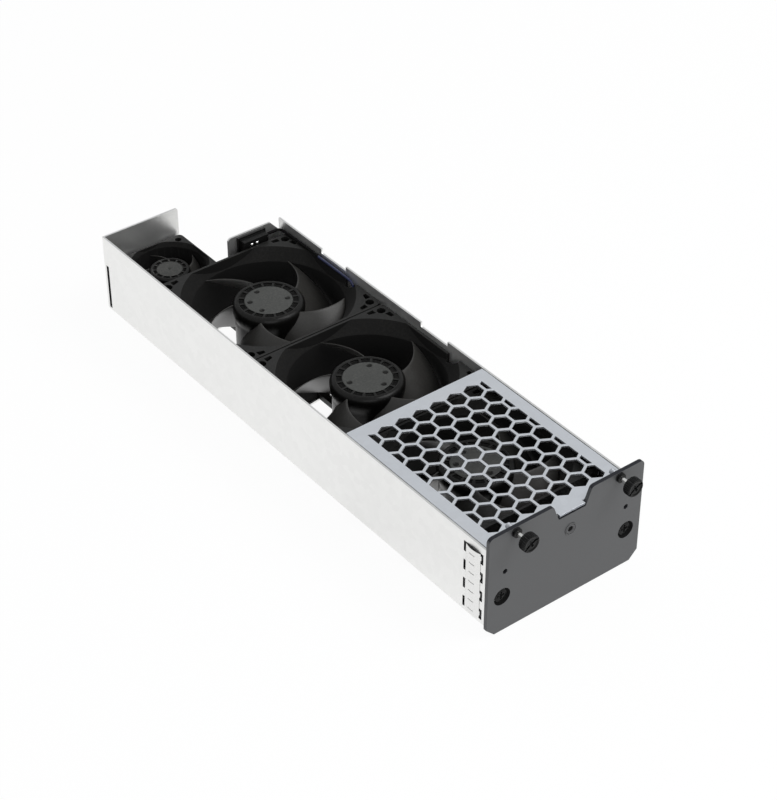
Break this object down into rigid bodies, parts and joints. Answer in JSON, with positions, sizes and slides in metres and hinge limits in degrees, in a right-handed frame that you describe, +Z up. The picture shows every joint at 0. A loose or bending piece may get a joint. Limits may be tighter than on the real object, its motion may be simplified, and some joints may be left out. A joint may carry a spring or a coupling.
{
  "type": "server fan tray",
  "caption": "Server cooling-fan tray: bent sheet-metal tray with a hex grille, large axial fans in a row, a small rear fan, a front panel with captive thumbscrews and a rear plug.",
  "frame": {"origin": "middle of the bounding box, at the lower edge of the front panel", "axes": "+Y from the front panel to the rear, +X to the right seen from the front, +Z up"},
  "size_m": [0.09, 0.3176, 0.0583],
  "materials": {
    "tray_steel": "satin",
    "panel_paint": "satin",
    "plate_steel": "satin",
    "spring_metal": "bright",
    "bright_metal": "bright",
    "black_screw": "satin",
    "rotor_steel": "satin",
    "bronze": "satin",
    "winding": "satin",
    "board_green": "matte",
    "black_plastic": "matte",
    "blue_cover": "matte"
  },
  "bodies": {
    "tray_assembly": {"tray": "tray_steel", "front_panel": "panel_paint", "grille_plate": "plate_steel", "finger_gasket": "spring_metal", "panel_bush": "bright_metal", "panel_screw_left": "black_screw", "panel_screw_right": "black_screw", "ferrule_left": "black_screw", "ferrule_right": "black_screw", "connector_housing": "black_plastic", "contact_1": "bright_metal", "contact_2": "bright_metal", "fan_lead": "blue_cover", "fan_1_frame": "black_plastic", "fan_1_bearing": "bronze", "fan_1_stator": "winding", "fan_1_board": "board_green", "fan_1_screws": "black_screw", "fan_2_frame": "black_plastic", "fan_2_bearing": "bronze", "fan_2_stator": "winding", "fan_2_board": "board_green", "fan_2_screws": "black_screw", "fan_3_frame": "black_plastic", "fan_3_bearing": "bronze", "fan_3_stator": "winding", "fan_3_board": "board_green", "fan_3_screws": "black_screw", "small_fan_frame": "black_plastic", "small_fan_bearing": "bronze", "small_fan_stator": "winding", "small_fan_board": "board_green", "small_fan_screws": "black_screw"},
    "fan_1_spinner": {"fan_1_impeller": "black_plastic", "fan_1_rotor": "rotor_steel"},
    "fan_2_spinner": {"fan_2_impeller": "black_plastic", "fan_2_rotor": "rotor_steel"},
    "fan_3_spinner": {"fan_3_impeller": "black_plastic", "fan_3_rotor": "rotor_steel"},
    "small_fan_spinner": {"small_fan_impeller": "black_plastic", "small_fan_rotor": "rotor_steel"},
    "thumb_slider_left": {"thumb_washer_left": "black_screw"},
    "thumb_spinner_left": {"thumbscrew_left": "black_screw"},
    "thumb_slider_right": {"thumb_washer_right": "black_screw"},
    "thumb_spinner_right": {"thumbscrew_right": "black_screw"}
  },
  "joints": [
    {"name": "fan_1_spin", "type": "hinge", "parent": "tray_assembly", "child": "fan_1_spinner", "pos_m": [-0.0025, 0.07085, 0.0083], "axis": [0, 0, 1], "continuous": true},
    {"name": "fan_2_spin", "type": "hinge", "parent": "tray_assembly", "child": "fan_2_spinner", "pos_m": [-0.0025, -0.00985, 0.0083], "axis": [0, 0, 1], "continuous": true},
    {"name": "fan_3_spin", "type": "hinge", "parent": "tray_assembly", "child": "fan_3_spinner", "pos_m": [-0.0025, -0.09055, 0.0083], "axis": [0, 0, 1], "continuous": true},
    {"name": "small_fan_spin", "type": "hinge", "parent": "tray_assembly", "child": "small_fan_spinner", "pos_m": [-0.0184, 0.13685, 0.0083], "axis": [0, 0, 1], "continuous": true},
    {"name": "thumb_push_left", "type": "slide", "parent": "tray_assembly", "child": "thumb_slider_left", "axis": [0, 1, 0], "range_m": [0, 0.0038]},
    {"name": "thumb_turn_left", "type": "hinge", "parent": "thumb_slider_left", "child": "thumb_spinner_left", "pos_m": [-0.0291, -0.15345, 0.0538], "axis": [0, 1, 0], "continuous": true},
    {"name": "thumb_push_right", "type": "slide", "parent": "tray_assembly", "child": "thumb_slider_right", "axis": [0, 1, 0], "range_m": [0, 0.0038]},
    {"name": "thumb_turn_right", "type": "hinge", "parent": "thumb_slider_right", "child": "thumb_spinner_right", "pos_m": [0.0304, -0.15345, 0.0538], "axis": [0, 1, 0], "continuous": true}
  ]
}
